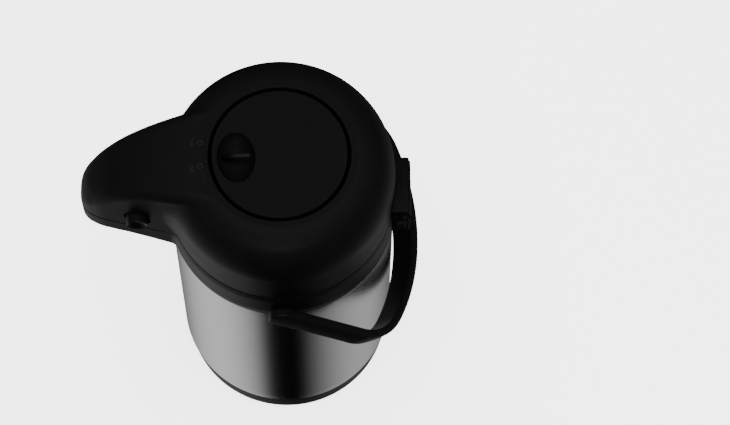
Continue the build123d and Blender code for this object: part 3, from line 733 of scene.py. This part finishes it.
def scoop_depth(x, y):
    """Top surface height over the plate, before its rest turn."""
    q = 1 - (x / 18.7) ** 2 - ((y + 30.0) / 13.3) ** 2
    bowl = np.where(q > 0, Z_TOP + 2.0 - 13.0 * np.sqrt(np.maximum(q, 0)), Z_TOP + 2.0 + 6.0 * (-np.minimum(q, 0)))
    return bowl


def plate_mesh():
    n_r, n_t = 150, 360
    th = np.linspace(0, 2 * math.pi, n_t, endpoint=False)
    # radii evenly spaced from the centre to the rim
    rr = np.r_[np.linspace(0.6, 46.4, n_r)]

    def top_z(x, y):
        b = scoop_depth(x, y)
        k = 1.6
        h = np.clip(0.5 + 0.5 * (b - Z_TOP) / k, 0, 1)
        return np.minimum(b * (1 - h) + Z_TOP * h - k * h * (1 - h), Z_TOP)

    rings = []
    for r in rr:
        x, y = r * np.cos(th), r * np.sin(th)
        rings.append(np.stack([x, y, top_z(x, y)], 1))
    for dr, dz in [(46.65, 0.06), (46.8, 0.2), (46.88, 0.4), (46.9, 0.6)]:
        rings.append(np.stack([dr * np.cos(th), dr * np.sin(th), np.full(n_t, Z_TOP - dz)], 1))
    for r, z in [(46.9, 340.0), (46.9, 325.0), (46.9, 311.3), (46.6, 311.0), (44.7, 311.0), (44.4, 311.3), (44.4, 325.0), (44.4, 336.0), (44.4, 344.0)]:
        rings.append(np.stack([r * np.cos(th), r * np.sin(th), np.full(n_t, z)], 1))
    for r in np.linspace(44.0, 0.6, 60):
        x, y = r * np.cos(th), r * np.sin(th)
        b = scoop_depth(x, y) - 2.2
        rings.append(np.stack([x, y, np.minimum(b, 344.4)], 1))
    verts = list(np.concatenate(rings))
    k = n_t
    faces = []
    for i in range(len(rings) - 1):
        for j in range(k):
            j2 = (j + 1) % k
            faces.append((i * k + j, i * k + j2, (i + 1) * k + j2, (i + 1) * k + j))
    verts.append((0.0, 0.0, Z_TOP))
    verts.append((0.0, 0.0, 344.4))
    a, b = len(verts) - 2, len(verts) - 1
    last = (len(rings) - 1) * k
    for j in range(k):
        j2 = (j + 1) % k
        faces.append((a, j2, j))
        faces.append((b, last + j, last + j2))
    return verts, faces


def turned(me, deg):
    me.transform(Matrix.Rotation(R(deg), 4, "Z"))
    return me


pl = mesh_from("plate", *plate_mesh())
for a in (0, 90, 180, 270):
    notch = turned(box_mesh("n", 45.2, 49.0, -2.2, 2.2, 300.0, 344.0), a)
    pl = combine(pl, notch, "DIFFERENCE")
hub = lathe("hub", [(1.6, 333.6), (7.0, 333.6), (7.0, 345.0), (1.6, 345.0)], 64)
pl = combine(pl, hub, "UNION")
# blade across the scoop: rounded over at its ring end, crowned along its top
bl_pts = [(-20.2, 347.3), (-32.6, 347.3), (-39.4, 343.4), (-41.4, 338.2), (-38.0, 334.8), (-30.0, 334.2), (-22.0, 334.8), (-19.0, 339.5)]
blade = prism("bl", rounded(bl_pts, [1.2, 9.0, 6.0, 2, 3, 3, 3, 2], 8), -1.5, 1.5, "X", 0.7)
ell = []
for i in range(40):
    t = math.pi * i / 39
    ell.append((math.sin(t), math.cos(t)))
keep = lathe("kp", [(0.0, 1.0)] + [(a, b) for a, b in ell[1:-1]] + [(0.0, -1.0)], 96)
keep.transform(Matrix.Translation((0, -30 * MM, (Z_TOP + 2.0) * MM)) @ Matrix.Diagonal((19.9, 14.5, 14.2, 1.0)))
blade = combine(blade, keep, "INTERSECT")
turned(pl, TURN)
turned(blade, 1.0)
plate_obj = piece("push_plate_moulding", pl, BLACK, "pump", ("push_plate",), 40)
# the bowl of the scoop has a duller finish than the disc, and a darker colour that is painted shade in its hollow
pl.materials.append(BLACK_BOWL_PAINTED_SHADE)
ca, sa = math.cos(R(TURN)), math.sin(R(TURN))
for poly in pl.polygons:
    cx, cy, cz = poly.center / MM
    ux, uy = cx * ca + cy * sa, -cx * sa + cy * ca
    if cz > 333.0 and poly.normal.z > 0 and scoop_depth(np.array(ux), np.array(uy)) < Z_TOP - 0.7:
        poly.material_index = 1
blade_obj = piece("scoop_blade", blade, BLADE, "pump", (), 40)

# ------------------------------------------------------------------ bail handle
ARM_IN, ARM_OUT, STRAP_W, HANDLE_L, RG, RC, HANG, PIVOT_Z = 82.1, 88.7, 20.3, 125.2, 131.3, 42.4, 41.6, 248.5
T_ARM = ARM_OUT - ARM_IN
GRIP_X = 2.0


def bail_path():
    """Outer line of the bail in its own plane as (x, y, outward normal), from the right pivot end round to the left one."""
    ac = (HANDLE_L - RG) + math.sqrt((RG - RC) ** 2 - (ARM_OUT - RC) ** 2)
    cg = (0.0, HANDLE_L - RG)
    c1 = (ARM_OUT - RC, ac)
    phi = math.atan2(c1[0] - cg[0], c1[1] - cg[1])
    pts = []
    for i in range(13):
        t = math.pi / 2 * i / 12
        pts.append((ARM_OUT, -STRAP_W / 2 * math.cos(t), 1.0, 0.0, max(math.sin(t), 0.02)))
    for i in range(1, 40):
        pts.append((ARM_OUT, ac * i / 40, 1.0, 0.0, 1.0))
    for i in range(33):
        t = math.pi / 2 - (math.pi / 2 - phi) * i / 32
        pts.append((c1[0] + RC * math.sin(t), c1[1] + RC * math.cos(t), math.sin(t), math.cos(t), 1.0))
    for i in range(1, 41):
        t = phi - phi * i / 40
        pts.append((cg[0] + RG * math.sin(t), cg[1] + RG * math.cos(t), math.sin(t), math.cos(t), 1.0))
    left = [(-x, y, -nx, ny, w) for x, y, nx, ny, w in pts[:-1]][::-1]
    return pts + left


def strap_section():
    """Section as (depth from the outer face, half-width fraction): crowned outside, rounded corners."""
    out = []
    hw = STRAP_W / 2
    r = 1.7
    t = T_ARM
    # outer face, crowned by 0.35 mm
    for i in range(13):
        f = -1 + 2 * i / 12
        out.append((0.35 * f * f, f * (hw - r)))
    for i in range(1, 7):
        a = math.pi / 2 * i / 6
        out.append((0.35 + r - r * math.cos(a), hw - r + r * math.sin(a)))
    out += [(t * 0.5, hw)]
    for i in range(7):
        a = math.pi / 2 * i / 6
        out.append((t - 1.3 + 1.3 * math.sin(a), hw - 1.3 + 1.3 * math.cos(a)))
    for i in range(1, 12):
        f = 1 - 2 * i / 12
        out.append((t, f * (hw - 1.3)))
    for i in range(7):
        a = math.pi / 2 * (1 - i / 6)
        out.append((t - 1.3 + 1.3 * math.sin(a), -(hw - 1.3 + 1.3 * math.cos(a))))
    out += [(t * 0.5, -hw)]
    for i in range(6):
        a = math.pi / 2 * (1 - i / 6)
        out.append((0.35 + r - r * math.cos(a), -(hw - r + r * math.sin(a))))
    return out


def bail_mesh():
    path, sec = bail_path(), strap_section()
    k = len(sec)
    verts, faces = [], []
    for x, y, nx, ny, w in path:
        extra = GRIP_X * min(max((y - 62.0) / 42.0, 0.0), 1.0)
        for d, h in sec:
            low = min(max(0.5 - h / STRAP_W, 0.0), 1.0)
            verts.append((x - nx * d, y - ny * d, h * w - extra * low))
    for i in range(len(path) - 1):
        for j in range(k):
            j2 = (j + 1) % k
            faces.append((i * k + j, i * k + j2, (i + 1) * k + j2, (i + 1) * k + j))
    faces.append(tuple(range(k)))
    faces.append(tuple(range((len(path) - 1) * k, len(path) * k))[::-1])
    return mesh_from("bail", verts, faces)


bail = bail_mesh()
for s in (-1, 1):
    bail = cut_x(bail, 4.05, s * (ARM_IN - 1), s * (ARM_OUT - 1.8), 0, 0, 64)
bail.transform(Matrix.Translation((0, 0, PIVOT_Z * MM)) @ Matrix.Rotation(R(-HANG), 4, "X"))
bail_obj = piece("bail_handle", bail, BLACK_BAIL, "handle", ("handle_bail",), 40)

# ------------------------------------------------------------------ steel shell, liner, base ring
shell_prof = rounded([
    (78.9, 26.5), (79.7, 26.5), (80.0, 26.9), (80.0, 237.6), (79.6, 239.2), (78.6, 240.2), (77.6, 240.8), (77.6, 243.0),
    (76.4, 244.4), (72.0, 246.2), (60.0, 249.2), (48.0, 251.0), (44.6, 251.6), (43.6, 252.6), (43.6, 255.2),
    (42.8, 255.2), (42.8, 252.3), (44.2, 250.9), (48.0, 250.2), (59.8, 248.4), (71.7, 245.4), (75.8, 243.8), (76.8, 242.6),
    (76.8, 240.4), (77.9, 239.4), (78.8, 238.6), (79.2, 237.4), (79.2, 27.6), (78.9, 27.3)], 0.35, 4)


def densify(prof, longest):
    out = []
    n = len(prof)
    for i in range(n):
        a, b = prof[i], prof[(i + 1) % n]
        d = math.dist(a, b)
        k = max(1, int(math.ceil(d / longest)))
        for s in range(k):
            out.append((a[0] + (b[0] - a[0]) * s / k, a[1] + (b[1] - a[1]) * s / k))
    return out


shell_obj = piece("steel_shell", lathe("shell", densify(shell_prof, 12.0), 288), STEEL_BODY, "jug", ("outer_shell",), 40)
ri = 67.2
liner_prof = rounded([
    (0, 38.0), (56.0, 38.0), (63.0, 40.4), (66.8, 45.0), (68.0, 52.0), (68.0, 232.0), (66.8, 238.0), (63.0, 241.6), (56.0, 243.8),
    (46.0, 245.6), (43.2, 246.8), (42.3, 249.0), (42.3, 255.2), (43.6, 255.2), (43.6, 256.0), (41.5, 256.0),
    (41.5, 248.6), (42.7, 246.2), (45.8, 244.8), (55.8, 243.0), (62.5, 240.9), (66.1, 237.6), (ri, 231.8), (ri, 52.2),
    (66.1, 45.4), (62.6, 41.1), (55.9, 38.8), (0, 38.8)], [0, 4, 3, 3, 3, 3, 3, 3, 3, 2, 1, 1, .1, .1, .3, .3, 1, 1, 2, 3, 3, 3, 3, 3, 3, 3, 4, 0], 5)
liner_obj = piece("steel_liner", lathe("liner", liner_prof, 240), STEEL_BODY, "jug", ("inner_liner",), 40)

base_prof = rounded([(9.35, 6.0), (74.0, 6.0), (74.6, 2.2), (77.0, 2.2), (77.5, 2.8), (79.2, 24.8), (79.0, 26.2),
                     (76.8, 26.2), (76.8, 31.0), (74.6, 31.0), (74.4, 24.0), (73.8, 8.5), (9.35, 8.5)], [.3, .5, .4, .5, .6, 1.0, .4, .2, .3, .3, .3, .5, .3], 5)
base_me = lathe("base", base_prof, 288)
for a in (90, 210, 330):
    sx, sy = 55.0 * math.cos(R(a)), 55.0 * math.sin(R(a))
    post = lathe("st", [(2.3, 8.0), (6.5, 8.0), (6.5, 33.4), (2.3, 33.4)], 48, "Z", (sx, sy))
    base_me = combine(base_me, post, "UNION")
    base_me = combine(base_me, cylinder("st2", 5.0, 5.0, 10.5, "Z", sx, sy, 48), "DIFFERENCE")
base_obj = piece("base_moulding", base_me, BLACK_BASE, "jug", ("base_ring",), 40)
foot_me = lathe("foot", rounded([(0.0, 0.0), (69.2, 0.0), (70.0, 0.5), (70.0, 1.6), (0.0, 1.6)], [0, .3, .3, .2, 0], 3), 192)
foot_obj = piece("foot_pad_ring", foot_me, RUBBER, "foot", ("foot_pad",), 40)

# ------------------------------------------------------------------ release buttons: tapered, with a dished end
for side, s in (("right", 1), ("left", -1)):
    prof = [(0.0, 17.0), (3.0, 17.0), (3.0, 17.1), (7.6, 19.0), (8.2, 19.4), (8.0, 24.0), (7.75, 28.0), (7.6, 30.1), (7.45, 30.65), (7.2, 30.9), (6.9, 30.85), (6.45, 30.5), (5.5, 30.05), (4.3, 29.7), (2.8, 29.45), (1.4, 29.34), (0.0, 29.3)]
    b = lathe("bt", prof, 96, "X", (0, 0))
    stem = lathe("sm", [(0.0, 4.2), (2.5, 4.2), (3.0, 4.7), (3.0, 17.6), (0.0, 17.6)], 48, "X", (0, 0))
    b = combine(b, stem, "UNION")
    fl = prism("fl", rounded([(-10.8, -13.6), (10.8, -13.6), (10.8, 11.0), (-10.8, 11.0)], [0.4, 0.4, 4, 4], 5), 16.9, 19.1, "X")
    b = combine(b, fl, "UNION")
    b.transform(Matrix.Translation((0, -101.0 * MM, 292.0 * MM)))
    if s < 0:
        b.transform(Matrix.Diagonal((-1, 1, 1, 1)))
        b.flip_normals()
    piece(f"release_button_cap_{side}", b, BLACK_BUTTON, f"button_{side}", (f"release_button_{side}",), 35)

# ------------------------------------------------------------------ bellows and its spring, each with a mesh of its own
ridges, zb0, zb1 = 6, 278.0, 331.0
st = (zb1 - zb0 - 4.0) / ridges
outp = [(40.4, zb0), (40.4, zb0 + 1.4), (33.6, zb0 + 2.0)]
zz = zb0 + 2.0
for i in range(ridges):
    outp += [(40.0, zz + st / 2), (33.6, zz + st)]
    zz += st
outp += [(38.4, zb1 - 0.9), (38.4, zb1)]
inp = [(r - 1.3, z) for r, z in outp]
inp[0], inp[1], inp[-1], inp[-2] = (30.0, zb0), (30.0, zb0 + 1.2), (30.0, zb1), (30.0, zb1 - 1.2)
bel = rounded(outp + inp[::-1], 0.7, 4)
bellows = piece("bellows_soft", lathe("bel", bel, 180), SILICONE, "lid", ("bellows",), None)
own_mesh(bellows)


def coil_mesh(name, radius, wire, turns, h0, h1, n=48, k=12, taper=True):
    """Closed round wire wound into a helix about Z, with flat ends."""
    total = int(turns * n)
    verts, faces = [], []
    for i in range(total + 1):
        t = i / total
        a = 2 * math.pi * turns * t
        z = h0 + (h1 - h0) * t
        c = Vector((radius * math.cos(a), radius * math.sin(a), z))
        tan = Vector((-math.sin(a) * radius * 2 * math.pi * turns, math.cos(a) * radius * 2 * math.pi * turns, h1 - h0)).normalized()
        out = Vector((math.cos(a), math.sin(a), 0))
        up = tan.cross(out)
        for j in range(k):
            b = 2 * math.pi * j / k
            verts.append(tuple(c + out * wire * math.cos(b) + up * wire * math.sin(b)))
    for i in range(total):
        for j in range(k):
            j2 = (j + 1) % k
            faces.append((i * k + j, i * k + j2, (i + 1) * k + j2, (i + 1) * k + j))
    faces.append(tuple(range(k)))
    faces.append(tuple(range(total * k, (total + 1) * k))[::-1])
    return mesh_from(name, verts, faces)


spring = piece("return_spring_wire", coil_mesh("rs", 20.0, 0.85, 51.2 / 8.6, 278.9, 330.1, 64), WIRE, "lid", ("return_spring",), None)
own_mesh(spring)

# ------------------------------------------------------------------ marks beside the plate: two rings with the words for locked and free


def surface_z(x, y):
    """Height of the lid's top over points (mm)."""
    x, y = np.asarray(x, float), np.asarray(y, float)
    lo, hi = np.full(len(x), 335.0), np.full(len(x), 352.0)
    for _ in range(26):
        mid = 0.5 * (lo + hi)
        f = lid_field(np.stack([x, y, mid], 1))
        inside = f < 0
        lo, hi = np.where(inside, mid, lo), np.where(inside, hi, mid)
    return 0.5 * (lo + hi)


def onto_lid(me, relief):
    """Lays a flat mesh (mm in its own x, y; z 0 to 1) on the lid: z 0 goes just under the skin, z 1 to the relief's top."""
    co = np.array([v.co for v in me.vertices], float).reshape(-1, 3)
    z = surface_z(co[:, 0], co[:, 1])
    for v, (x, y, h), s in zip(me.vertices, co, z):
        v.co = (x * MM, y * MM, (s - 0.35 + (0.35 + relief) * h) * MM)
    return me


def text_mesh(word, size):
    cu = bpy.data.curves.new("word", "FONT")
    cu.body = word
    cu.size = size
    cu.extrude = 0.5
    cu.align_x = "CENTER"
    cu.resolution_u = 4
    cu.space_character = 1.15
    o = obj_from("word", cu)
    bpy.context.view_layer.update()
    dg = bpy.context.evaluated_depsgraph_get()
    me = bpy.data.meshes.new_from_object(o.evaluated_get(dg))
    bpy.data.objects.remove(o)
    bm = bmesh.new()
    bm.from_mesh(me)
    bmesh.ops.remove_doubles(bm, verts=bm.verts, dist=1e-4)
    bmesh.ops.recalc_face_normals(bm, faces=bm.faces)
    bm.to_mesh(me)
    bm.free()
    return me


def mark(word, angle, r_ring, r_word):
    """angle from the spout's axis, towards +x, in degrees."""
    parts = []
    ring = lathe("rg", [(1.55, 0.0), (2.15, 0.0), (2.15, 0.001 / MM * 0.001), (1.55, 0.001 / MM * 0.001)], 48)
    for v in ring.vertices:
        v.co = (v.co.x / MM, v.co.y / MM, 0.0 if v.co.z < 1e-9 else 1.0)
    a = R(angle)
    cx, cy = r_ring * math.sin(a), -r_ring * math.cos(a)
    for v in ring.vertices:
        v.co.x += cx
        v.co.y += cy
    parts.append(ring)
    me = text_mesh(word, 3.6)
    xs = [v.co.x for v in me.vertices]
    mid = 0.5 * (min(xs) + max(xs))
    for v in me.vertices:
        t = (v.co.x - mid) / r_word
        rad = r_word - v.co.y
        b = a + t
        v.co = (rad * math.sin(b), -rad * math.cos(b), 1.0 if v.co.z > 0 else 0.0)
    parts.append(me)
    return parts


mark_parts = []
for word, ang in (("OFF", -8.9), ("ON", 8.9)):
    for me in mark(word, ang, 55.4, 62.6):
        mark_parts.append(onto_lid(me, 0.18))
bm = bmesh.new()
for me in mark_parts:
    bm.from_mesh(me)
marks_me = bpy.data.meshes.new("marks")
bm.to_mesh(marks_me)
bm.free()
MARK = plastic("mark_relief_plastic", 0.0085, 0.0015, 0.34, grain=3000.0, bump=0.04)
marks_obj = piece("lock_marks", marks_me, MARK, "lid", (), 30)

# ------------------------------------------------------------------ floor and light
floor_mat = Mat("floor_pale")
fv = floor_mat.coords()
fn = floor_mat.noise(fv, 3.0, 4.0, 0.5)
floor_mat.link(floor_mat.mix(fn, grey(0.86), grey(0.90)), floor_mat.p.inputs["Base Color"])
floor_mat.p.inputs["Roughness"].default_value = 0.9
floor_mat.p.inputs["Specular IOR Level"].default_value = 0.0
floor_mat.p.inputs["Emission Color"].default_value = (1, 1, 1, 1)
floor_mat.p.inputs["Emission Strength"].default_value = 3.0
fme = bpy.data.meshes.new("floor")
S = 6.0
fme.from_pydata([(-S, -S, 0), (S, -S, 0), (S, S, 0), (-S, S, 0)], [], [(0, 1, 2, 3)])
fme.materials.append(floor_mat.m)
floor = obj_from("floor", fme)
floor.visible_glossy = False
floor.visible_diffuse = False

world = bpy.data.worlds.new("studio")
scene.world = world
world.use_nodes = True
wt = world.node_tree
wt.nodes.clear()
wo = wt.nodes.new("ShaderNodeOutputWorld")
bg = wt.nodes.new("ShaderNodeBackground")
wt.links.new(bg.outputs[0], wo.inputs[0])
tc = wt.nodes.new("ShaderNodeTexCoord")
sp = wt.nodes.new("ShaderNodeSeparateXYZ")
wt.links.new(tc.outputs["Generated"], sp.inputs[0])


def wmath(op, a, b=None, clamp=False):
    x = wt.nodes.new("ShaderNodeMath")
    x.operation = op
    x.use_clamp = clamp
    for i, v in enumerate((a, b)):
        if v is None:
            continue
        if isinstance(v, (int, float)):
            x.inputs[i].default_value = v
        else:
            wt.links.new(v, x.inputs[i])
    return x.outputs[0]


# strip lights at the two sides, a dark gap between them in front, and a dark ceiling
az = wmath("ADD", wmath("MULTIPLY", wmath("ARCTAN2", sp.outputs[1], sp.outputs[0]), 0.5 / math.pi), 0.5)
SIDES = [(-180, 0.005), (-160, 0.01), (-146, 0.05), (-132, 0.24), (-118, 0.46), (-95, 0.66), (-70, 0.66), (-52, 0.50), (-38, 0.30), (-28, 0.13), (-21, 0.018), (-15, 0.002), (-8, 0.0005), (8, 0.0005), (16, 0.008),
         (25, 0.055), (36, 0.13), (48, 0.22), (60, 0.30), (80, 0.42), (105, 0.42), (130, 0.18), (155, 0.05), (180, 0.02)]
rp = wt.nodes.new("ShaderNodeValToRGB")
els = rp.color_ramp.elements
while len(els) > 1:
    els.remove(els[-1])
els[0].position, els[0].color = 0.0, grey(SIDES[0][1])
for a, v in SIDES[1:]:
    e = els.new((a + 180) / 360)
    e.color = grey(v)
wt.links.new(az, rp.inputs[0])
rz = wt.nodes.new("ShaderNodeValToRGB")
els = rz.color_ramp.elements
while len(els) > 1:
    els.remove(els[-1])
els[0].position, els[0].color = 0.0, grey(1.0)
for pos, v in [(0.12, 1.0), (0.25, 0.72), (0.38, 0.30), (0.5, 0.10), (0.62, 0.05), (0.8, 0.04), (1.0, 0.05)]:
    e = els.new(pos)
    e.color = grey(v)
wt.links.new(wmath("ADD", wmath("MULTIPLY", sp.outputs[2], 0.5), 0.5), rz.inputs[0])
mx = wt.nodes.new("ShaderNodeMix")
mx.data_type = "RGBA"
mx.blend_type = "MULTIPLY"
mx.inputs[0].default_value = 1.0
wt.links.new(rp.outputs[0], mx.inputs[6])
wt.links.new(rz.outputs[0], mx.inputs[7])
wt.links.new(mx.outputs[2], bg.inputs[0])
bg.inputs[1].default_value = 1.35


def area(name, at, target, size, power, glossy=True):
    d = bpy.data.lights.new(name, "AREA")
    d.shape = "RECTANGLE"
    d.size, d.size_y = size
    d.energy = power
    o = bpy.data.objects.new(name, d)
    scene.collection.objects.link(o)
    o.location = at
    v = Vector(target) - Vector(at)
    o.rotation_euler = v.to_track_quat("-Z", "Y").to_euler()
    o.visible_glossy = glossy
    o.visible_camera = False
    return o


area("overhead", (0.3, 0.1, 3.2), (0, 0, 0), (3.0, 3.0), 240.0, glossy=False)
area("front_soft", (2.4, -0.1, 2.1), (0, 0, 0.32), (1.3, 0.8), 14.0)
